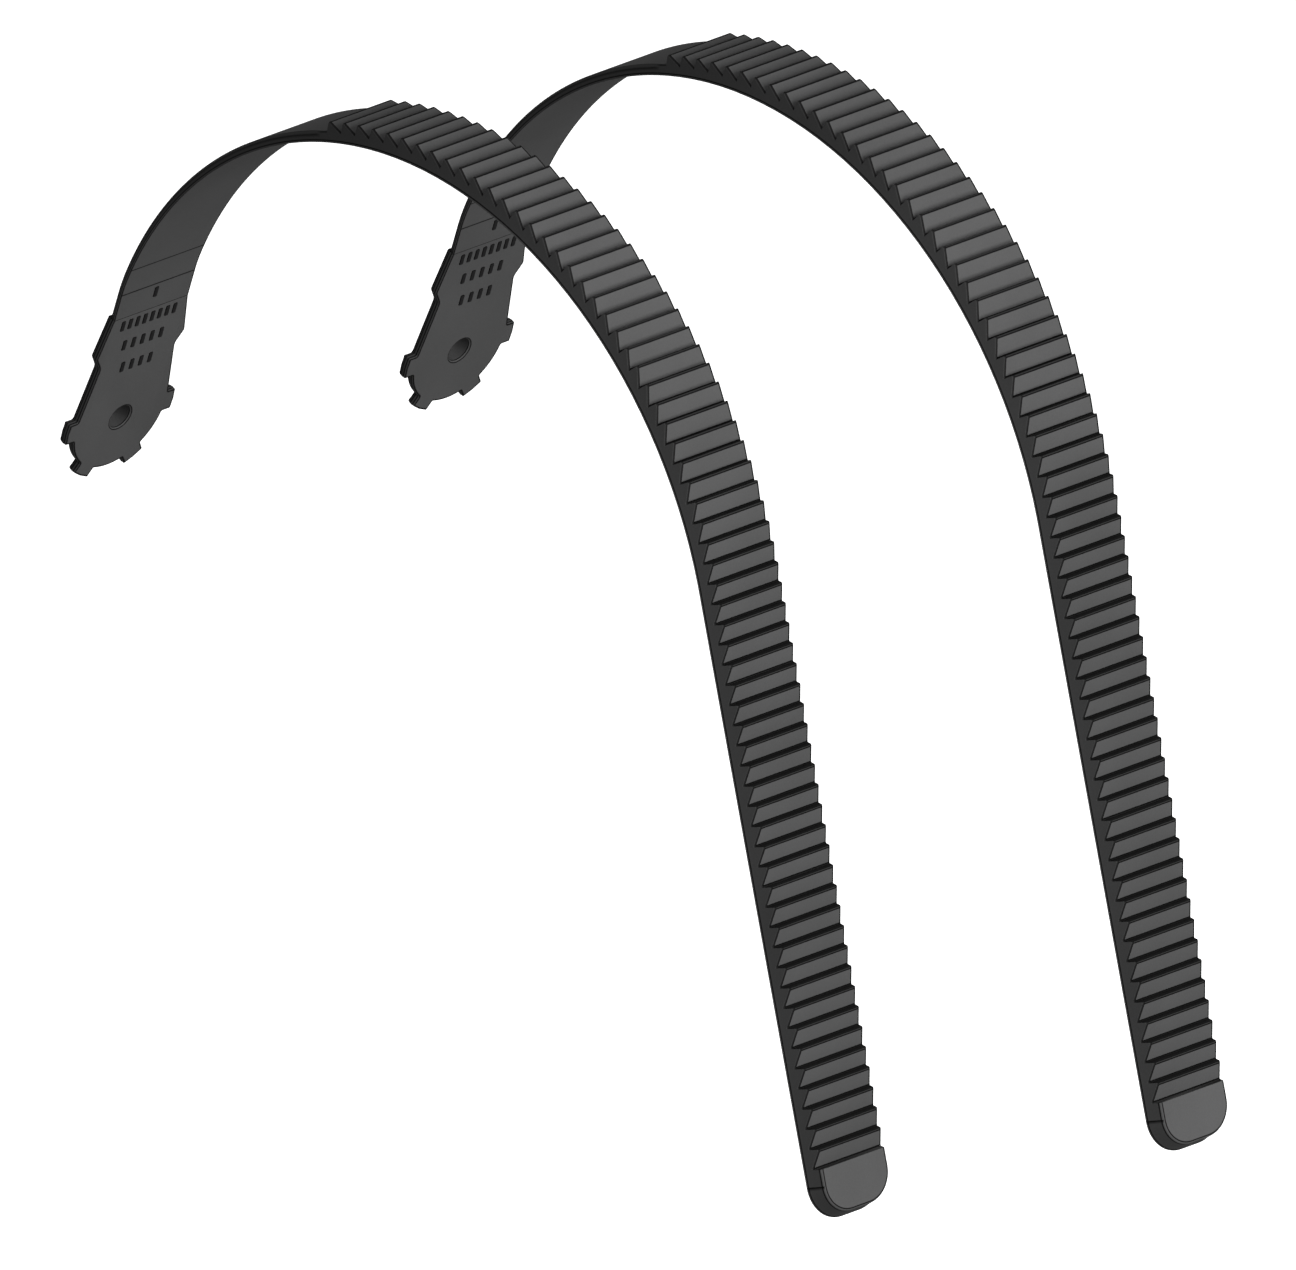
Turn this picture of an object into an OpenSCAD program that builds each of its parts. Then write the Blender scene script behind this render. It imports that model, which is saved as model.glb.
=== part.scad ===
// Pair of moulded ratchet straps, also called ladder straps.
// Each strap is one springy elastomer moulding: a flat fixing head with a bolt hole and four
// locating lugs, a plain curved neck, and a long band with sawtooth teeth that ends in a pull tab.
// Each strap is drawn as links that meet at knuckles, so that the band can curl and open out.
// X runs from the head towards the tail, Y runs across the strap, Z is up. Lengths are in mm.
// Origin: middle of the near head's bolt hole, halfway through the head plate. Collars stand out of the
// outer faces round the holes, so that the holes are longer than the plate is thick.

/* [Fixing head] */
// Angle of the flat head above the horizontal, in degrees
head_a = 71.2; // [40:0.1:90]
// Bolt hole diameter, clearance for an M6 bolt
hole_d = 6.4; // [4:0.1:10]
// Chamfer round the bolt hole on the inner face
hole_chamfer = 0.4; // [0:0.1:1]
// Radius of the round end about the bolt hole
head_r = 14.7; // [12:0.1:20]
// Radius to the ends of the locating lugs
lug_r = 17.4; // [14:0.1:24]
// Width of each locating lug
lug_w = 6; // [3:0.5:10]
// Half width of the head at the waist above the hole
waist_w = 12.3; // [9:0.1:15]
// Distance from the hole to the waist
waist_s = 18.5; // [10:0.5:25]
// Half width of the head at the shoulders
shoulder_w = 14.4; // [10:0.1:18]
// Distance from the hole to the shoulders
shoulder_s = 22; // [15:0.5:30]
// Distance from the hole to where the head is as narrow as the band
head_neck_s = 33; // [25:0.5:34]
// Outer radius of the collar round the hole on the outer face
collar_r = 6.2; // [4.5:0.1:9]
// Height of that collar above the outer face
collar_h = 2.4; // [1:0.1:6]
// Height of the plain moulded marks on the inner face
mark_h = 0.25; // [0:0.05:0.5]

/* [Band section] */
// Width of the band at its parting line
band_w = 23.4; // [15:0.1:40]
// Thickness of the head, the neck and the web under the teeth
band_t = 2.4; // [1.5:0.1:4]
// Width across the flat inner face
inner_w = 24.4; // [15:0.1:40]
// Height of the parting line above the inner face
parting_h = 1; // [0.5:0.1:3]
// Width across the tooth crests
crest_w = 20.4; // [15:0.1:40]

/* [Curve] */
// Length of the straight plate from the bolt hole to the bend
head_len = 41; // [34.5:0.5:60]
// Outer radius of the small bend above the head
bend_r = 44.7; // [40:0.1:120]
// Direction of the strap after the bend, in degrees above the horizontal
neck_a = 64.1; // [30:0.1:90]
// Outer radius of the neck, up to the top of the arch
neck_r = 109.8; // [60:0.1:150]
// Root radius of the toothed arch after the top
arch_r = 109.6; // [80:0.1:180]
// Direction of the straight tail below the horizontal, in degrees
tail_a = 75.2; // [40:0.1:90]

/* [Teeth and tab] */
// Number of teeth
teeth = 63; // [20:1:80]
// Tooth pitch
pitch = 5; // [3:0.1:8]
// Tooth height above the web
tooth_h = 2.2; // [1:0.1:3]
// Distance along the outer face from the bolt hole to the first tooth
teeth_from = 141.5; // [80:0.1:200]
// Lean of the steep tooth face, as a run along the band
steep_run = 0.1; // [0:0.1:2]
// Flat on the tooth crest
crest_flat = 0.4; // [0.1:0.1:1]
// Run of the tooth slope
slope_run = 4.2; // [1:0.1:4.5]
// Length of the pull tab
tab_len = 13.7; // [6:0.1:30]
// Corner radius of the pull tab
tab_corner = 9.3; // [2:0.1:11]

/* [Pair] */
// Offset of the far strap along X
pair_x = 25.2; // [0:0.1:100]
// Offset of the far strap along Y
pair_y = 87.2; // [40:0.1:200]

/* [Knuckles] */
// Teeth carried by each toothed link, from the neck to the tab
link_teeth = [9, 9, 9, 7, 10, 10, 9]; // [1:1:15]
// Radius of the knuckle rod
rod_r = 0.9; // [0.6:0.05:1]
// Running clearance round the knuckle rod
rod_clear = 0.08; // [0.02:0.01:0.1]
// Gap between the end faces of two links
link_gap = 0.2; // [0.18:0.01:0.4]

/* [Colour] */
// Shade of the straps, from black to white
shade = 0.25; // [0:0.01:1]

/* [Hidden] */
$fn = 96;
over = 1;                                 // how far a cutter runs past what it cuts
step = 2.5;                               // spacing of points along the inner face
mid_h = -band_t / 2;                      // height of the knuckle centres, from the outer face

// Distances along the outer face at which the curve changes
t_bend = head_len;
t_neck = t_bend + arc_len(bend_r, head_a - neck_a);
t_arch = t_neck + arc_len(neck_r, neck_a);
t_tail = t_arch + arc_len(arch_r, tail_a);
t_tab = teeth_from + teeth * pitch;

// Points at which the curve changes
p_head = [-sin(head_a), cos(head_a)] * band_t / 2;
p_bend = p_head + head_len * [cos(head_a), sin(head_a)];
p_neck = arc_end(p_bend, bend_r, head_a, neck_a);
p_arch = arc_end(p_neck, neck_r, neck_a, 0);
p_tail = arc_end(p_arch, arch_r, 0, -tail_a);

// Centres of the curves
c_neck = p_neck - neck_r * normal(neck_a);
c_arch = p_arch - arch_r * normal(0);

// Where the links meet, as distances along the outer face
neck_link = (teeth_from - head_len) / 3;
function teeth_before(n) = n <= 1 ? 0 : teeth_before(n - 1) + link_teeth[n - 2];

function arc_len(r, a) = r * a * PI / 180;
function arc_turn(r, len) = len / r * 180 / PI;
function normal(a) = [-sin(a), cos(a)];
function arc_end(p, r, a0, a1) = p + r * [sin(a0) - sin(a1), cos(a1) - cos(a0)];

// Direction of the strap at distance t along its outer face
function dir_at(t) =
    t < t_bend ? head_a :
    t < t_neck ? head_a - arc_turn(bend_r, t - t_bend) :
    t < t_arch ? neck_a - arc_turn(neck_r, t - t_neck) :
    t < t_tail ? -arc_turn(arch_r, t - t_arch) : -tail_a;

// Directions on the neck's and the arch's arcs carried on at both ends, for their envelopes
function neck_dir(t) = neck_a - arc_turn(neck_r, t - t_neck);
function arch_dir(t) = -arc_turn(arch_r, t - t_arch);

// Point on the outer face at distance t
function point_at(t) =
    t < t_bend ? p_head + t * [cos(head_a), sin(head_a)] :
    t < t_neck ? arc_end(p_bend, bend_r, head_a, dir_at(t)) :
    t < t_arch ? arc_end(p_neck, neck_r, neck_a, dir_at(t)) :
    t < t_tail ? arc_end(p_arch, arch_r, 0, dir_at(t)) :
    p_tail + (t - t_tail) * [cos(tail_a), -sin(tail_a)];

// Point at distance t along the strap and height h above its outer face
function place(t, h) = point_at(t) + h * normal(dir_at(t));

// Side profile of the inner face and of a plain outer face
function inner_line(ta, tb) =
    let (n = ceil((tb - ta) / step)) [for (i = [0 : n]) place(ta + (tb - ta) * i / n, -band_t)];
function plain_line(ta, tb) =
    let (n = ceil((tb - ta) / step)) [for (i = [n : -1 : 0]) place(ta + (tb - ta) * i / n, 0)];

// Side profile of the teeth, from the last tooth back to the first
function tooth_line(first, count, tb) = concat(
    [place(tb, 0)],
    [for (k = [count - 1 : -1 : 0]) let (t = teeth_from + (first + k) * pitch)
        each [place(t + steep_run + crest_flat + slope_run, 0),
              place(t + steep_run + crest_flat, tooth_h),
              place(t + steep_run, tooth_h),
              place(t, 0)]]);

// Cross-section of the strap, from below its inner face to above its crests
function half_w(h) = h < parting_h - band_t
    ? band_w / 2 + (h + band_t - parting_h) / parting_h * (band_w - inner_w) / 2
    : band_w / 2 - (h + band_t - parting_h) / (tooth_h + band_t - parting_h) * (band_w - crest_w) / 2;

module section() {
    lo = -band_t - 0.5;
    hi = tooth_h + 0.5;
    mid = parting_h - band_t;
    polygon([[lo, -half_w(lo)], [mid, -band_w / 2], [hi, -half_w(hi)],
             [hi, half_w(hi)], [mid, band_w / 2], [lo, half_w(lo)]]);
}

// Side profile drawn in X and Z, given its full width across Y
module across(width) {
    rotate([90, 0, 0]) linear_extrude(width, center = true) children();
}

// Drafted envelope of an arc about centre c, from direction a0 down to direction a1
module arc_envelope(c, r, a0, a1) {
    translate([c[0], 0, c[1]]) rotate([90, 0, 0])
        rotate([0, 0, 90 + a1]) rotate_extrude(angle = a0 - a1) translate([r, 0]) section();
}

// Drafted envelope of a straight run that starts at p and heads off at angle a
module straight_envelope(p, a, len) {
    translate([p[0], 0, p[1]]) rotate([0, -a, 0])
        rotate([0, -90, 0]) mirror([0, 0, 1]) linear_extrude(len) section();
}

// Knuckle rod and the groove it turns in
module knuckle(t, r, width) {
    c = place(t, mid_h);
    translate([c[0], 0, c[1]]) rotate([90, 0, 0]) cylinder(h = width, r = r, center = true);
}
module rod(t) { knuckle(t, rod_r, band_w - 1); }
module groove(t) { knuckle(t, rod_r + rod_clear, band_w + 2 * over); }

// Outline of the head, hole at the origin, neck towards +X
module head_outline() {
    for (side = [-1, 1])
        polygon([[0, 0], [lug_w / 2, side * head_r], [waist_s, side * waist_w],
                 [shoulder_s, side * shoulder_w], [head_neck_s, side * inner_w / 2],
                 [head_len - link_gap, side * inner_w / 2], [head_len - link_gap, 0]]);
    circle(r = head_r);
    intersection() {
        circle(r = lug_r);
        for (a = [90, 150, 210, 270])
            rotate(a) translate([0, -lug_w / 2]) square([lug_r + over, lug_w]);
    }
}

// Row of short plain marks across the inner face
module mark_row(s, count, gap) {
    for (i = [0 : count - 1])
        translate([s - 1.5, (i - (count - 1) / 2) * gap - 0.6, -band_t / 2 - mark_h])
            cube([3, 1.2, 2 * mark_h]);
}

module strap_head() {
    color([shade, shade, shade]) union() {
        rotate([0, -head_a, 0]) {
            difference() {
                union() {
                    translate([0, 0, -band_t / 2]) linear_extrude(band_t) head_outline();
                    cylinder(h = band_t / 2 + collar_h, r = collar_r);
                }
                translate([0, 0, -band_t / 2 - over])
                    cylinder(h = band_t + collar_h + 2 * over, d = hole_d);
                translate([0, 0, -band_t / 2 - over])
                    cylinder(h = over + hole_chamfer, r1 = hole_d / 2 + hole_chamfer + over,
                             r2 = hole_d / 2);
            }
            mark_row(38.4, 1, 3);
            mark_row(30.6, 8, 2.4);
            mark_row(24, 5, 3);
            mark_row(16.9, 4, 3);
        }
        rod(head_len);
    }
}

// Plain link of the neck between distances ta and tb
module neck_link(ta, tb) {
    color([shade, shade, shade]) union() {
        difference() {
            intersection() {
                across(band_w + 2 * over)
                    polygon(concat(inner_line(ta, tb - link_gap), plain_line(ta, tb - link_gap)));
                arc_envelope(c_neck, neck_r, neck_dir(ta) + 2, neck_dir(tb) - 2);
            }
            groove(ta);
        }
        rod(tb);
    }
}

// Toothed link; n counts the links from the first tooth
module toothed_link(n) {
    ta = teeth_from + teeth_before(n) * pitch;
    tb = ta + link_teeth[n - 1] * pitch;
    last = tb > t_tab - 1;
    te = last ? tb : tb - link_gap;
    color([shade, shade, shade]) union() {
        difference() {
            intersection() {
                across(band_w + 2 * over)
                    polygon(concat(inner_line(ta, te),
                                   tooth_line(teeth_before(n), link_teeth[n - 1], te)));
                envelope(ta, te);
            }
            groove(ta);
        }
        if (!last) rod(tb);
    }
}

// Drafted envelope of the toothed part between ta and tb
module envelope(ta, tb) {
    if (ta + tb < 2 * t_arch)
        arc_envelope(c_neck, neck_r, neck_dir(ta) + 2, neck_dir(tb) - 2);
    else if (ta < t_tail - 3)
        arc_envelope(c_arch, arch_r, arch_dir(ta) + 2, arch_dir(tb) - 2);
    else
        straight_envelope(p_tail - 4 * [cos(tail_a), -sin(tail_a)], -tail_a, tb - t_tail + 6);
}

// Smooth pull tab at the end of the strap
module strap_tip() {
    p = point_at(t_tab);
    color([shade, shade, shade])
        translate([p[0], 0, p[1]]) rotate([0, tail_a, 0]) intersection() {
            translate([0, 0, -band_t]) linear_extrude(band_t + tooth_h) tab_outline();
            rotate([0, -90, 0]) mirror([0, 0, 1]) linear_extrude(tab_len + over) section();
        }
}
module tab_outline() {
    y = inner_w / 2 - tab_corner;
    x = tab_len - tab_corner;
    translate([0, -inner_w / 2]) square([x, inner_w]);
    translate([0, -y]) square([tab_len, 2 * y]);
    for (side = [-1, 1]) translate([x, side * y]) circle(r = tab_corner);
}

module far() { translate([pair_x, pair_y, 0]) children(); }

module near_head() strap_head();
module near_neck_lower() neck_link(head_len, head_len + neck_link);
module near_neck_middle() neck_link(head_len + neck_link, head_len + 2 * neck_link);
module near_neck_upper() neck_link(head_len + 2 * neck_link, teeth_from);
module near_band_1() toothed_link(1);
module near_band_2() toothed_link(2);
module near_band_3() toothed_link(3);
module near_band_4() toothed_link(4);
module near_band_5() toothed_link(5);
module near_band_6() toothed_link(6);
module near_band_7() toothed_link(7);
module near_tip() strap_tip();
module far_head() far() near_head();
module far_neck_lower() far() near_neck_lower();
module far_neck_middle() far() near_neck_middle();
module far_neck_upper() far() near_neck_upper();
module far_band_1() far() near_band_1();
module far_band_2() far() near_band_2();
module far_band_3() far() near_band_3();
module far_band_4() far() near_band_4();
module far_band_5() far() near_band_5();
module far_band_6() far() near_band_6();
module far_band_7() far() near_band_7();
module far_tip() far() near_tip();

near_head();
near_neck_lower();
near_neck_middle();
near_neck_upper();
near_band_1();
near_band_2();
near_band_3();
near_band_4();
near_band_5();
near_band_6();
near_band_7();
near_tip();
far_head();
far_neck_lower();
far_neck_middle();
far_neck_upper();
far_band_1();
far_band_2();
far_band_3();
far_band_4();
far_band_5();
far_band_6();
far_band_7();
far_tip();
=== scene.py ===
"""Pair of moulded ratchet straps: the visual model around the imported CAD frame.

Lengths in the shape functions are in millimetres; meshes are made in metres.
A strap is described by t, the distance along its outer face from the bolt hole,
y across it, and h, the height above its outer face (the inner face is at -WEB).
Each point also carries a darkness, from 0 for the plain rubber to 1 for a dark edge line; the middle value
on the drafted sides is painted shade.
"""
import math

import bmesh
import bpy
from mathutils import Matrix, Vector
from mathutils.geometry import tessellate_polygon


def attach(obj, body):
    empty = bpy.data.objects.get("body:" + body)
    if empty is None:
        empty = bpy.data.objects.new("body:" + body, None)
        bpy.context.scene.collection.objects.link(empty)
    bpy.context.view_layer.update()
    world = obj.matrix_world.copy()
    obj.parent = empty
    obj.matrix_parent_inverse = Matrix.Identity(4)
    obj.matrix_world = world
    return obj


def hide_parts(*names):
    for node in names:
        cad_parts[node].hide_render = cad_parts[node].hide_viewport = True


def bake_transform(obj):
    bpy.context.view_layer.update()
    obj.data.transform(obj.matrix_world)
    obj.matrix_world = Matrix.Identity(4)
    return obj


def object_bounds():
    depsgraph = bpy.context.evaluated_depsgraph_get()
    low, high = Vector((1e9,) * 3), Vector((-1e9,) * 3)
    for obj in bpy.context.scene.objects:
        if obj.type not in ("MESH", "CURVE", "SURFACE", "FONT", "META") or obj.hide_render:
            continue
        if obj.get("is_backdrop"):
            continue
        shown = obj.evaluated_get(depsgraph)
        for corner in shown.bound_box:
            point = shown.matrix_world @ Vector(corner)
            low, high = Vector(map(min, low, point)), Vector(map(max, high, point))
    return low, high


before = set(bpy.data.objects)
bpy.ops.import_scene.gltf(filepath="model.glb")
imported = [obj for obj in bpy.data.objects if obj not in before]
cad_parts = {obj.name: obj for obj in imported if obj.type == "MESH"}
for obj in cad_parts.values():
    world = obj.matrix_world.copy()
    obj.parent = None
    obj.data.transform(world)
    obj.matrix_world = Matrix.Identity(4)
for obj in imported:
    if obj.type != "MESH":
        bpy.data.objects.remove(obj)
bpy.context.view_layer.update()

MM = 0.001

# ------------------------------------------------------------------ dimensions
WEB = 2.4                      # thickness of head, neck and web under the teeth
HEAD_A, NECK_A, TAIL_A = 71.2, 64.1, 75.2      # slopes of head, neck and tail, degrees
BEND_R, NECK_R, ARCH_R = 44.7, 109.8, 109.6    # radii of the three arcs between them
HEAD_LEN = 41.0                # flat stretch of the head, from the hole to the bend
HEAD_END = 33.2                # where the head piece meets the neck piece
TEETH, PITCH, TEETH_FROM = 63, 5.0, 141.5
TOOTH_H, STEEP_RUN, CREST_FLAT, SLOPE_RUN = 2.2, 0.1, 0.4, 4.2
TAB_LEN, TAB_CORNER = 13.7, 9.3
BAND_W, INNER_W, CREST_W = 23.4, 24.4, 20.4    # widths at parting line, inner face and crest
PARTING = 1.0                  # height of the parting line above the inner face
NECK_CHAMFER, TOOTH_CHAMFER = 0.7, 0.25        # chamfers of the outer edges
CHAMFER_FADE = 6.0             # length over which one chamfer turns into the other
BROAD = 0.5                    # a chamfer over this is drawn as the neck's
CROSS_LINES = [HEAD_END, 41.0, 49.6]           # faint moulded lines across the inner face
LINE_HALF = 0.15               # half the width of a cross line
NECK_STEP = 2.0                # spacing of the neck's stations

HOLE_R, HOLE_CHAMFER = 3.2, 0.4
HOLE_STEPS = 48
COLLAR_R, COLLAR_H = 6.2, 2.4  # collar round the hole on the outer face
HEAD_R = 14.7                  # round end of the head
LUG_R, LUG_W = 17.4, 6.0
LUG_ANGLES = [90.0, 150.0]     # on one side, from the direction of the neck
WAIST_S, WAIST_W = 18.5, 12.3  # distance from the hole, and half width
SHOULDER_S, SHOULDER_W = 22.0, 14.4
MARK_ROWS = [(38.4, 1, 3.0), (30.6, 8, 2.4), (24.0, 5, 3.0), (16.9, 4, 3.0)]  # place, count, gap
MARK_LEN, MARK_W, MARK_CORNER = 3.0, 1.2, 0.25

NECK_LINKS = ["neck_lower", "neck_middle", "neck_upper"]
LINK_TEETH = [9, 9, 9, 7, 10, 10, 9]
LINKS = NECK_LINKS + [f"band_{i + 1}" for i in range(len(LINK_TEETH))]
PAIR = {"near": (0.0, 0.0), "far": (25.2, 87.2)}

PAINTED_SIDE_SHADE = 0.35                # painted shade: the drafted sides are coloured darker than the faces, standing for the shade they lie in


# ------------------------------------------------------------------ centre line
def normal(a):
    a = math.radians(a)
    return -math.sin(a), math.cos(a)


def arc_end(p, r, a0, a1):
    a0, a1 = math.radians(a0), math.radians(a1)
    return p[0] + r * (math.sin(a0) - math.sin(a1)), p[1] + r * (math.cos(a1) - math.cos(a0))


T_BEND = HEAD_LEN
T_NECK = T_BEND + BEND_R * math.radians(HEAD_A - NECK_A)
T_ARCH = T_NECK + NECK_R * math.radians(NECK_A)
T_TAIL = T_ARCH + ARCH_R * math.radians(TAIL_A)
T_TAB = TEETH_FROM + TEETH * PITCH
P_HEAD = tuple(c * WEB / 2 for c in normal(HEAD_A))
P_BEND = (P_HEAD[0] + HEAD_LEN * math.cos(math.radians(HEAD_A)),
          P_HEAD[1] + HEAD_LEN * math.sin(math.radians(HEAD_A)))
P_NECK = arc_end(P_BEND, BEND_R, HEAD_A, NECK_A)
P_ARCH = arc_end(P_NECK, NECK_R, NECK_A, 0.0)
P_TAIL = arc_end(P_ARCH, ARCH_R, 0.0, -TAIL_A)


def dir_at(t):
    """Slope of the outer face at t, in degrees."""
    if t < T_BEND:
        return HEAD_A
    if t < T_NECK:
        return HEAD_A - math.degrees((t - T_BEND) / BEND_R)
    if t < T_ARCH:
        return NECK_A - math.degrees((t - T_NECK) / NECK_R)
    if t < T_TAIL:
        return -math.degrees((t - T_ARCH) / ARCH_R)
    return -TAIL_A


def point_at(t):
    """Point (x, z) of the outer face at t."""
    if t < T_BEND:
        a = math.radians(HEAD_A)
        return P_HEAD[0] + t * math.cos(a), P_HEAD[1] + t * math.sin(a)
    if t < T_NECK:
        return arc_end(P_BEND, BEND_R, HEAD_A, dir_at(t))
    if t < T_ARCH:
        return arc_end(P_NECK, NECK_R, NECK_A, dir_at(t))
    if t < T_TAIL:
        return arc_end(P_ARCH, ARCH_R, 0.0, dir_at(t))
    a = math.radians(TAIL_A)
    return P_TAIL[0] + (t - T_TAIL) * math.cos(a), P_TAIL[1] - (t - T_TAIL) * math.sin(a)


def place(t, y, h, shift):
    """World point of the strap that stands at shift."""
    p, n = point_at(t), normal(dir_at(t))
    return Vector(((p[0] + h * n[0] + shift[0]) * MM, (y + shift[1]) * MM, (p[1] + h * n[1]) * MM))


def nearest_root(t):
    """Foot of the tooth nearest to t, or t itself on the plain neck."""
    if t <= TEETH_FROM:
        return t
    return TEETH_FROM + PITCH * round((t - TEETH_FROM) / PITCH)


HINGES = [HEAD_LEN + (TEETH_FROM - HEAD_LEN) * k / len(NECK_LINKS) for k in range(len(NECK_LINKS) + 1)]
for count in LINK_TEETH[:-1]:
    HINGES.append(HINGES[-1] + count * PITCH)
# pieces meet halfway along each link, so that each piece spans one hinge
JOINS = [HEAD_END] + [nearest_root((a + b) / 2) for a, b in zip(HINGES, HINGES[1:])] + [T_TAB]


# ------------------------------------------------------------------ section
def half_w(h):
    """Half the width of the strap at height h, with the draft of the mould."""
    d = h + WEB
    if d < PARTING:
        return BAND_W / 2 - (PARTING - d) / PARTING * (BAND_W - INNER_W) / 2
    return BAND_W / 2 - (d - PARTING) / (TOOTH_H + WEB - PARTING) * (BAND_W - CREST_W) / 2


def ring(top, chamfer, top_ink, inner_ink):
    """Half of a closed section at one station: (y, h, darkness) from the inner face to the outer; the
    drafted side's darkness is painted shade.
    """
    mid = PARTING - WEB
    c = chamfer
    neck = c >= BROAD
    foot = half_w(-WEB)
    side_top = max(top - c, mid + 0.35)
    return [
        (0.0, -WEB, inner_ink),
        (foot - 0.6, -WEB, inner_ink),
        (foot - 0.35, -WEB, 1.0),
        (foot - 0.12, -WEB + 0.02, 1.0),
        (foot - 0.03, -WEB + 0.10, 0.1),
        (half_w(-WEB + 0.38), -WEB + 0.38, 0.3),
        (half_w(-WEB + 0.45), -WEB + 0.45, 1.0),
        (half_w(-WEB + 0.62), -WEB + 0.62, 1.0),
        # painted shade: the drafted side is coloured darker, standing for the shade it lies in
        (half_w(-WEB + 0.75), -WEB + 0.75, PAINTED_SIDE_SHADE),
        (half_w(mid + 0.1), mid + 0.1, PAINTED_SIDE_SHADE),
        (half_w(side_top), side_top, 0.9 if neck else PAINTED_SIDE_SHADE),
        (half_w(top) - 0.30 * c, top - 0.62 * c, 0.4 if neck else 0.9),
        (half_w(top) - 0.80 * c, top - 0.10 * c, 0.4 if neck else 0.8),
        (half_w(top) - 1.05 * c, top, 1.0),
        (half_w(top) - 1.05 * c - 0.18, top, 1.0),
        (half_w(top) - 1.05 * c - 0.32, top, top_ink),
        (0.0, top, top_ink),
    ]


def tooth_stations(t):
    """Stations (t, top, ink) over one tooth whose steep face stands at t."""
    front = STEEP_RUN
    back = front + CREST_FLAT
    foot = back + SLOPE_RUN
    drop = TOOTH_H / SLOPE_RUN
    return [(t + s, h, ink_and_shade) for s, h, ink_and_shade in (
        (0.0, 0.0, 1.0), (0.01, 0.3, 0.85), (0.08, TOOTH_H - 0.25, 0.85),
        (front, TOOTH_H - 0.08, 1.0), (front + 0.06, TOOTH_H, 1.0), (front + 0.14, TOOTH_H, 0.7),
        (back - 0.08, TOOTH_H, 0.8), (back - 0.02, TOOTH_H, 1.0), (back + 0.10, TOOTH_H - 0.04, 1.0),
        (back + 0.20, TOOTH_H - 0.20 * drop, 1.0), (back + 0.30, TOOTH_H - 0.30 * drop, 0.0),
        (foot - 0.26, 0.26 * drop, 0.0), (foot - 0.16, 0.16 * drop, 1.0), (foot - 0.02, 0.02, 1.0),
        (foot + 0.10, 0.0, 1.0), (PITCH - 0.06, 0.0, 0.9))]


def plain_stations(ta, tb):
    """Stations of the plain neck, evenly spaced, with four more at each cross line."""
    ts = {ta, tb}
    n = max(1, round((tb - ta) / NECK_STEP))
    ts |= {ta + (tb - ta) * k / n for k in range(n + 1)}
    for line in CROSS_LINES:
        ts -= {t for t in ts if ta < t < tb and abs(t - line) < 0.4}
        ts |= {line + d for d in (-0.22, -0.12, 0.12, 0.22) if ta < line + d < tb}
    return [(t, 0.0, 0.0) for t in sorted(ts)]


def stations_between(ta, tb):
    """Stations (t, top, ink) of the piece from ta to tb."""
    out = []
    if ta < TEETH_FROM:
        out += plain_stations(ta, min(tb, TEETH_FROM))
        if tb > TEETH_FROM:
            out.pop()
    first = max(0, round((ta - TEETH_FROM) / PITCH))
    last = round((tb - TEETH_FROM) / PITCH)
    for k in range(first, last):
        out += tooth_stations(TEETH_FROM + k * PITCH)
    if tb > TEETH_FROM:
        out.append((tb, 0.0, 0.6))
    return out


def chamfer_at(t):
    """The neck has a broad chamfer that narrows to the teeth's small one."""
    f = min(1.0, max(0.0, (t - (TEETH_FROM - CHAMFER_FADE)) / CHAMFER_FADE))
    return NECK_CHAMFER + (TOOTH_CHAMFER - NECK_CHAMFER) * f


def line_ink(t):
    return 1.0 if any(abs(t - line) < LINE_HALF for line in CROSS_LINES) else 0.0


# ------------------------------------------------------------------ mesh helpers
def add_object(name, verts, faces, ink_and_shade, smooth_angle=32.0):
    """Closed mesh object with its darkness of lines and painted shade, smooth except across edges sharper
    than smooth_angle.
    """
    mesh = bpy.data.meshes.new(name)
    mesh.from_pydata(verts, [], faces)
    layer = mesh.attributes.new("ink_and_shade", "FLOAT", "POINT")
    layer.data.foreach_set("value", [float(v) for v in ink_and_shade])
    mesh.validate()
    bm = bmesh.new()
    bm.from_mesh(mesh)
    bmesh.ops.recalc_face_normals(bm, faces=bm.faces)
    bm.to_mesh(mesh)
    bm.free()
    mesh.polygons.foreach_set("use_smooth", [True] * len(mesh.polygons))
    mesh.set_sharp_from_angle(angle=math.radians(smooth_angle))
    obj = bpy.data.objects.new(name, mesh)
    bpy.context.collection.objects.link(obj)
    obj.data.materials.append(MATERIAL)
    return obj


def bridge(a, b, closed=True):
    """Quads between two loops of vertex numbers."""
    n = len(a)
    return [(a[k], a[(k + 1) % n], b[(k + 1) % n], b[k]) for k in range(n if closed else n - 1)]


def loft(name, sections, shift):
    """Closed solid through full sections, each a list of (t, y, h, darkness of lines and painted shade)."""
    verts, ink_and_shade, loops = [], [], []
    for section in sections:
        loops.append(list(range(len(verts), len(verts) + len(section))))
        for t, y, h, i in section:
            verts.append(place(t, y, h, shift))
            ink_and_shade.append(i)
    faces = [face for a, b in zip(loops, loops[1:]) for face in bridge(a, b)]
    faces.append(tuple(reversed(loops[0])))
    faces.append(tuple(loops[-1]))
    return add_object(name, verts, faces, ink_and_shade)


def full_section(t, half):
    """Both halves of a ring as one closed loop of (t, y, h, darkness of lines and painted shade)."""
    right = [(t, y, h, i) for y, h, i in half]
    left = [(t, -y, h, i) for y, h, i in reversed(half[1:-1])]
    return right + left


def polar(r, degrees):
    a = math.radians(degrees)
    return r * math.cos(a), r * math.sin(a)


def circle(r):
    return [(r * math.cos(2 * math.pi * k / HOLE_STEPS), r * math.sin(2 * math.pi * k / HOLE_STEPS))
            for k in range(HOLE_STEPS)]


# ------------------------------------------------------------------ material
RUBBER_DARK = (0.066, 0.066, 0.066, 1)
RUBBER_PALE = (0.076, 0.076, 0.0765, 1)
# near black mixed into the rubber for dark edge lines and for painted shade on the drafted sides
INK_AND_SHADE_COLOUR = (0.001, 0.001, 0.001, 1)


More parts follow.
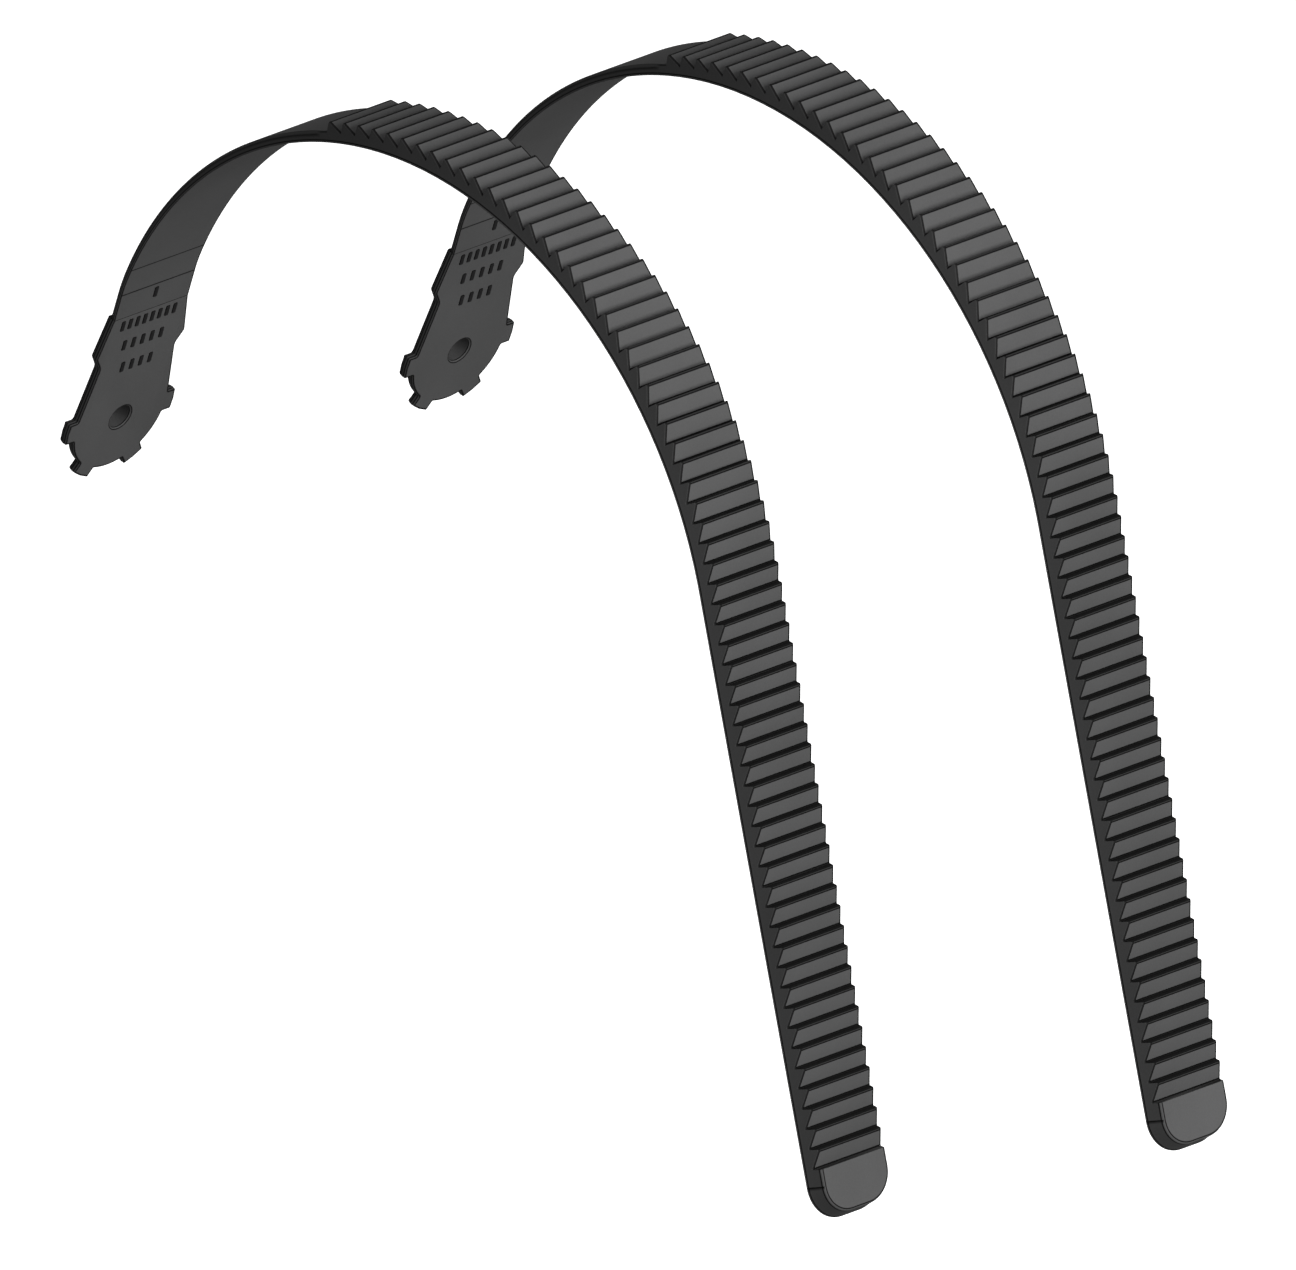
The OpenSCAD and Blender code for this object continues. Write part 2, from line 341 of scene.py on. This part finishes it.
def make_material():
    """Dark grey elastomer with a fine grain and slight waves, darkened along the edges by drawn lines and on
    the drafted sides by painted shade.
    """
    mat = bpy.data.materials.new("strap_elastomer")
    mat.use_nodes = True
    nt = mat.node_tree
    nt.nodes.clear()
    new = nt.nodes.new
    link = nt.links.new
    out = new("ShaderNodeOutputMaterial")
    bsdf = new("ShaderNodeBsdfPrincipled")
    link(bsdf.outputs[0], out.inputs[0])
    coord = new("ShaderNodeTexCoord")

    def noise(scale, detail):
        node = new("ShaderNodeTexNoise")
        node.inputs["Scale"].default_value = scale
        node.inputs["Detail"].default_value = detail
        link(coord.outputs["Object"], node.inputs["Vector"])
        return node

    def bump(height, strength, distance):
        node = new("ShaderNodeBump")
        node.inputs["Strength"].default_value = strength
        node.inputs["Distance"].default_value = distance
        link(height.outputs["Fac"], node.inputs["Height"])
        return node

    cloud = noise(38.0, 4.0)
    grain = noise(2600.0, 3.0)
    wave = noise(120.0, 2.0)

    shade = new("ShaderNodeValToRGB")
    shade.color_ramp.elements[0].position = 0.30
    shade.color_ramp.elements[0].color = RUBBER_DARK
    shade.color_ramp.elements[1].position = 0.72
    shade.color_ramp.elements[1].color = RUBBER_PALE
    link(cloud.outputs["Fac"], shade.inputs["Fac"])

    speck = new("ShaderNodeMix")
    speck.data_type = "RGBA"
    speck.blend_type = "MULTIPLY"
    speck.inputs["Factor"].default_value = 0.22
    link(shade.outputs["Color"], speck.inputs["A"])
    link(grain.outputs["Fac"], speck.inputs["B"])

    # the per-point darkness mixes in near black: dark edge lines, and painted shade on the drafted sides
    edge = new("ShaderNodeAttribute")
    edge.attribute_name = "ink_and_shade"
    dark = new("ShaderNodeMix")
    dark.data_type = "RGBA"
    link(edge.outputs["Fac"], dark.inputs["Factor"])
    link(speck.outputs["Result"], dark.inputs["A"])
    dark.inputs["B"].default_value = INK_AND_SHADE_COLOUR
    link(dark.outputs["Result"], bsdf.inputs["Base Color"])

    rough = new("ShaderNodeMapRange")
    rough.inputs["To Min"].default_value = 0.50
    rough.inputs["To Max"].default_value = 0.68
    link(grain.outputs["Fac"], rough.inputs["Value"])
    link(rough.outputs["Result"], bsdf.inputs["Roughness"])
    bsdf.inputs["IOR"].default_value = 1.47
    bsdf.inputs["Specular IOR Level"].default_value = 0.08

    fine = bump(grain, 0.16, 0.00006)
    broad = bump(wave, 0.10, 0.0003)
    link(fine.outputs["Normal"], broad.inputs["Normal"])
    link(broad.outputs["Normal"], bsdf.inputs["Normal"])
    return mat


MATERIAL = make_material()


# ------------------------------------------------------------------ head
def fillet_loop(corners, steps=4):
    """Closed loop of (x, y, radius) with each corner rounded."""
    out = []
    n = len(corners)
    for i in range(n):
        x, y, r = corners[i]
        if r <= 0:
            out.append((x, y))
            continue
        p = Vector((x, y))
        a, b = Vector(corners[i - 1][:2]), Vector(corners[(i + 1) % n][:2])
        reach = min(r, (a - p).length * 0.45, (b - p).length * 0.45)
        q0, q1 = p + (a - p).normalized() * reach, p + (b - p).normalized() * reach
        for k in range(steps + 1):
            f = k / steps
            m = q0.lerp(p, f).lerp(p.lerp(q1, f), f)
            out.append((m.x, m.y))
    return out


def head_outline():
    """Outer edge of the head in (s, y), from the neck's one side round to its other."""
    root = math.degrees(math.asin(LUG_W / 2 / HEAD_R))
    tip = math.degrees(math.asin(LUG_W / 2 / LUG_R))
    half = [(HEAD_END, INNER_W / 2, 0), (SHOULDER_S, SHOULDER_W, 0.5), (WAIST_S, WAIST_W, 0.8),
            (LUG_W / 2, HEAD_R, 0.4)]
    steps = 7
    for k, lug in enumerate(LUG_ANGLES):
        half += [(*polar(LUG_R, lug - tip), 0.35), (*polar(LUG_R, lug), 0),
                 (*polar(LUG_R, lug + tip), 0.35), (*polar(HEAD_R, lug + root), 0.4)]
        last = k + 1 == len(LUG_ANGLES)
        end = 180.0 if last else LUG_ANGLES[k + 1] - root
        start = lug + root
        half += [(*polar(HEAD_R, start + (end - start) * j / steps), 0) for j in range(1, steps)]
        if not last:
            half.append((*polar(HEAD_R, end), 0.4))
    return fillet_loop(half + [(-HEAD_R, 0.0, 0)] + [(x, -y, r) for x, y, r in reversed(half)])


def inset(loop, d):
    """Loop moved inwards by d; its two ends at the neck only move across the strap."""
    n = len(loop)
    out = []
    for i in range(n):
        x, y = loop[i]
        if i in (0, n - 1):
            out.append((x, y - math.copysign(d, y)))
            continue
        a, b = Vector(loop[i - 1]), Vector(loop[(i + 1) % n])
        p = Vector((x, y))
        u, v = (p - a).normalized(), (b - p).normalized()
        nu, nv = Vector((-u.y, u.x)), Vector((-v.y, v.x))
        m = nu + nv
        m.normalize()
        scale = min(1.6, 1.0 / max(0.5, m.dot(nu)))
        out.append((x + m.x * d * scale, y + m.y * d * scale))
    return out


def make_head(side, shift):
    """Head plate with its bolt hole and collar, and the marks on its inner face."""
    outer = head_outline()
    mid = -WEB + PARTING
    chamfer_r = HOLE_R + HOLE_CHAMFER
    levels = [  # (inset, height, darkness) of the outer edge, from the inner face to the outer; the drafted side's darkness is painted shade
        (0.6, -WEB, 0.0), (0.38, -WEB, 1.0), (0.14, -WEB + 0.02, 1.0), (0.06, -WEB + 0.10, 0.1),
        (0.05, -WEB + 0.38, 0.3), (0.05, -WEB + 0.45, 1.0), (0.04, -WEB + 0.62, 1.0),
        (0.0, -WEB + 0.75, PAINTED_SIDE_SHADE), (0.0, mid + 0.1, PAINTED_SIDE_SHADE), (0.03, mid + 0.25, 1.0),
        (0.04, mid + 0.4, 1.0), (0.07, mid + 0.5, PAINTED_SIDE_SHADE), (0.12, -0.5, 0.9), (0.30, -0.18, 0.4),
        (0.5, -0.03, 0.4), (0.7, 0.0, 1.0), (0.9, 0.0, 1.0), (1.1, 0.0, 0.0)]
    holes = [  # (radius, height, ink) from the inner face, through the collar, to the outer face
        (chamfer_r + 0.2, -WEB, 0.0), (chamfer_r + 0.1, -WEB, 1.0),
        (chamfer_r - 0.06, -WEB + 0.05, 1.0), (chamfer_r - 0.12, -WEB + 0.12, 0.0),
        (HOLE_R + 0.1, -WEB + HOLE_CHAMFER - 0.1, 0.0), (HOLE_R + 0.03, -WEB + HOLE_CHAMFER - 0.03, 1.0),
        (HOLE_R, -WEB + HOLE_CHAMFER + 0.1, 1.0), (HOLE_R, -WEB + HOLE_CHAMFER + 0.22, 0.0),
        (HOLE_R, COLLAR_H - 0.3, 0.0), (HOLE_R, COLLAR_H - 0.15, 0.2), (HOLE_R + 0.15, COLLAR_H, 0.8),
        (HOLE_R + 0.5, COLLAR_H, 0.0), (COLLAR_R - 0.5, COLLAR_H, 0.0), (COLLAR_R - 0.3, COLLAR_H, 0.8),
        (COLLAR_R, COLLAR_H - 0.25, 0.4), (COLLAR_R, 0.35, 0.2), (COLLAR_R + 0.12, 0.1, 0.8),
        (COLLAR_R + 0.35, 0.0, 0.8), (COLLAR_R + 0.9, 0.0, 0.0)]
    verts, ink_and_shade, faces = [], [], []

    def add(points, h, value):
        start = len(verts)
        for s, y in points:
            verts.append(place(s, y, h, shift))
            ink_and_shade.append(value)
        return list(range(start, start + len(points)))

    rims = [add(inset(outer, d), h, v) for d, h, v in levels]
    bores = [add(circle(r), h, v) for r, h, v in holes]
    for loops in (rims, bores):
        for a, b in zip(loops, loops[1:]):
            faces += bridge(a, b)
    for end in (0, -1):
        rim = [Vector((x, y, 0)) for x, y in inset(outer, levels[end][0])]
        hole = [Vector((x, y, 0)) for x, y in circle(holes[end][0])]
        ids = rims[end] + bores[end]
        for tri in tessellate_polygon([rim, hole]):
            faces.append(tuple(ids[k] for k in tri))
    head = add_object(f"{side}_head_plate", verts, faces, ink_and_shade)
    marks = make_marks(side, shift)
    return head, marks


def rounded_box(a, b, c):
    """Outline of a box with half sizes a and b and corners of radius c."""
    corners = ((a - c, b - c, 0), (-a + c, b - c, 90), (-a + c, -b + c, 180), (a - c, -b + c, 270))
    out = []
    for cx, cy, quarter in corners:
        for k in range(4):
            w = math.radians(quarter + 30 * k)
            out.append((cx + c * math.cos(w), cy + c * math.sin(w)))
    return out


def make_marks(side, shift):
    """Rows of short plain raised bars on the inner face."""
    verts, ink_and_shade, faces = [], [], []
    for s, count, gap in MARK_ROWS:
        for i in range(count):
            y = (i - (count - 1) / 2) * gap
            loops = []
            for grow, h, v in ((0.0, -WEB + 0.05, 1.0), (0.0, -WEB - 0.1, 0.95),
                               (-0.05, -WEB - 0.2, 0.9), (-0.16, -WEB - 0.24, 0.85)):
                outline = rounded_box(MARK_LEN / 2 + grow, MARK_W / 2 + grow, MARK_CORNER)
                loops.append(list(range(len(verts), len(verts) + len(outline))))
                for dx, dy in outline:
                    verts.append(place(s + dx, y + dy, h, shift))
                    ink_and_shade.append(v)
            for a, b in zip(loops, loops[1:]):
                faces += bridge(a, b)
            faces.append(tuple(loops[0]))
            faces.append(tuple(reversed(loops[-1])))
    return add_object(f"{side}_head_marks", verts, faces, ink_and_shade)


# ------------------------------------------------------------------ tab
def make_tab(side, shift):
    """Tab with a soft edge round its top; the outline is walked as a U and lofted inwards."""
    straight = TAB_LEN - TAB_CORNER
    edge = INNER_W / 2
    plan = [(x, edge, 0.0) for x in (0.0, straight / 2)]
    plan += [(straight - 0.3, edge, 0.0), (straight - 0.15, edge, 1.0)]
    arc_steps = 18
    for k in range(arc_steps + 1):
        x, y = polar(TAB_CORNER, 90 - 90 * k / arc_steps)
        plan.append((straight + x, edge - TAB_CORNER + y, 1.0 if k == 0 else 0.0))
    plan += [(TAB_LEN, 1.5, 0.0)]
    plan += [(TAB_LEN, 0.0, 0.0)] + [(x, -y, v) for x, y, v in reversed(plan)]
    levels = [(0.6, -WEB, 0.0), (0.38, -WEB, 1.0), (0.14, -WEB + 0.02, 1.0), (0.03, -WEB + 0.10, 0.1)]
    # painted shade: the drafted sides of the tab are coloured darker, standing for the shade they lie in
    for h, v in ((-WEB + 0.38, 0.3), (-WEB + 0.45, 1.0), (-WEB + 0.62, 1.0), (-WEB + 0.75, PAINTED_SIDE_SHADE),
                 (PARTING - WEB + 0.1, PAINTED_SIDE_SHADE), (0.0, PAINTED_SIDE_SHADE), (1.3, PAINTED_SIDE_SHADE), (1.45, 1.0), (1.6, 1.0)):
        levels.append((edge - half_w(h), h, v))
    wall = levels[-1][0]
    levels += [(wall + 0.02, TOOTH_H - 0.45, 0.0), (wall + 0.12, TOOTH_H - 0.25, 0.0),
               (wall + 0.32, TOOTH_H - 0.10, 0.0), (wall + 0.5, TOOTH_H - 0.01, 1.0),
               (wall + 0.65, TOOTH_H, 1.0), (wall + 0.8, TOOTH_H, 0.0)]
    verts, ink_and_shade, faces, loops = [], [], [], []
    n = len(plan)
    for d, h, v in levels:
        loops.append(list(range(len(verts), len(verts) + n)))
        on_side = -WEB + 0.1 < h < TOOTH_H - 0.1
        for i, (x, y, seam) in enumerate(plan):
            if i in (0, n - 1):
                y -= math.copysign(d, y)
            else:
                u = (Vector(plan[i + 1][:2]) - Vector(plan[i - 1][:2])).normalized()
                x, y = x + u.y * d, y - u.x * d
            verts.append(place(T_TAB + x, y, h, shift))
            ink_and_shade.append(max(v, seam if on_side else 0.0))
    for a, b in zip(loops, loops[1:]):
        faces += bridge(a, b, closed=False)
    faces.append(tuple(reversed(loops[0])))
    faces.append(tuple(loops[-1]))
    faces.append(tuple([loop[0] for loop in loops] + [loop[-1] for loop in reversed(loops)]))
    return add_object(f"{side}_pull_tab", verts, faces, ink_and_shade)


# ------------------------------------------------------------------ straps
def make_strap(side, shift):
    """Head, ten skins that each reach across one hinge, and tab."""
    head, marks = make_head(side, shift)
    for obj in (head, marks):
        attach(obj, "heads")
    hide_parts(f"{side}_head")
    for k, hinge in enumerate(HINGES):
        ta, tb = JOINS[k], JOINS[k + 1]
        sections = [full_section(t, ring(top, chamfer_at(t), top_ink, line_ink(t)))
                    for t, top, top_ink in stations_between(ta, tb)]
        piece = loft(f"{side}_{LINKS[k]}_skin", sections, shift)
        after = f"{side}_{LINKS[k]}"
        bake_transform(piece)
        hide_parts(after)
    tab = make_tab(side, shift)
    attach(tab, f"{side}_band_7")
    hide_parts(f"{side}_tip")


for strap_side, strap_shift in PAIR.items():
    make_strap(strap_side, strap_shift)

# ------------------------------------------------------------------ floor, light, camera
AZIMUTH, ELEVATION = math.radians(47.0), math.radians(22.84)
BACK = Vector((math.sin(AZIMUTH) * math.cos(ELEVATION), -math.cos(AZIMUTH) * math.cos(ELEVATION),
               math.sin(ELEVATION)))
RIGHT = Vector((math.cos(AZIMUTH), math.sin(AZIMUTH), 0.0))
UP = BACK.cross(RIGHT)
VIEW_WIDTH = 0.30938           # metres across the picture
VIEW_RIGHT, VIEW_DOWN = 0.12594, 0.05203       # from the near bolt hole to the picture's middle
CAMERA_BACK = 1.2
FLOOR_HALF, FLOOR_DROP = 4.0, 0.03

low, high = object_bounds()
MIDDLE = (low + high) / 2


def make_floor():
    """Plain pale floor below the straps."""
    size = FLOOR_HALF
    z = low.z - FLOOR_DROP
    corners = [(-size, -size, z), (size, -size, z), (size, size, z), (-size, size, z)]
    mesh = bpy.data.meshes.new("floor")
    mesh.from_pydata(corners, [], [(0, 1, 2, 3)])
    floor = bpy.data.objects.new("floor", mesh)
    bpy.context.collection.objects.link(floor)
    mat = bpy.data.materials.new("floor_white")
    mat.use_nodes = True
    bsdf = mat.node_tree.nodes["Principled BSDF"]
    bsdf.inputs["Base Color"].default_value = (0.92, 0.92, 0.92, 1)
    bsdf.inputs["Roughness"].default_value = 0.9
    bsdf.inputs["Specular IOR Level"].default_value = 0.1
    bsdf.inputs["Emission Color"].default_value = (1, 1, 1, 1)
    bsdf.inputs["Emission Strength"].default_value = 0.8
    floor.data.materials.append(mat)
    floor.visible_diffuse = False
    floor.visible_glossy = False
    floor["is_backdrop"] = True


def make_world():
    world = bpy.data.worlds.new("studio")
    bpy.context.scene.world = world
    world.use_nodes = True
    world.node_tree.nodes["Background"].inputs["Color"].default_value = (1.0, 1.0, 1.0, 1)
    world.node_tree.nodes["Background"].inputs["Strength"].default_value = 0.26


def soft_light(name, position, target, width, power):
    data = bpy.data.lights.new(name, "AREA")
    data.shape = "SQUARE"
    data.size = width
    data.energy = power
    obj = bpy.data.objects.new(name, data)
    bpy.context.collection.objects.link(obj)
    obj.location = position
    obj.rotation_euler = (Vector(target) - Vector(position)).to_track_quat("-Z", "Y").to_euler()


def make_camera():
    """Parallel view of the pair, placed from the near bolt hole on its inner face."""
    data = bpy.data.cameras.new("camera")
    data.type = "ORTHO"
    data.ortho_scale = VIEW_WIDTH
    data.clip_start, data.clip_end = 0.01, 20.0
    camera = bpy.data.objects.new("camera", data)
    bpy.context.collection.objects.link(camera)
    inner = normal(HEAD_A)
    hole_face = Vector((-inner[0], 0.0, -inner[1])) * (WEB / 2 * MM)
    aim = hole_face + RIGHT * VIEW_RIGHT - UP * VIEW_DOWN
    camera.location = aim + BACK * CAMERA_BACK
    camera.rotation_euler = BACK.to_track_quat("Z", "Y").to_euler()
    bpy.context.scene.camera = camera


make_floor()
make_world()
soft_light("key", MIDDLE + Vector((1.5, 0.0, 0.5)), MIDDLE, 1.0, 39.0)
soft_light("top", MIDDLE + Vector((0.5, 0.4, 1.5)), MIDDLE, 1.4, 6.0)
make_camera()
bpy.context.scene.view_settings.view_transform = "Standard"

low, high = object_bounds()
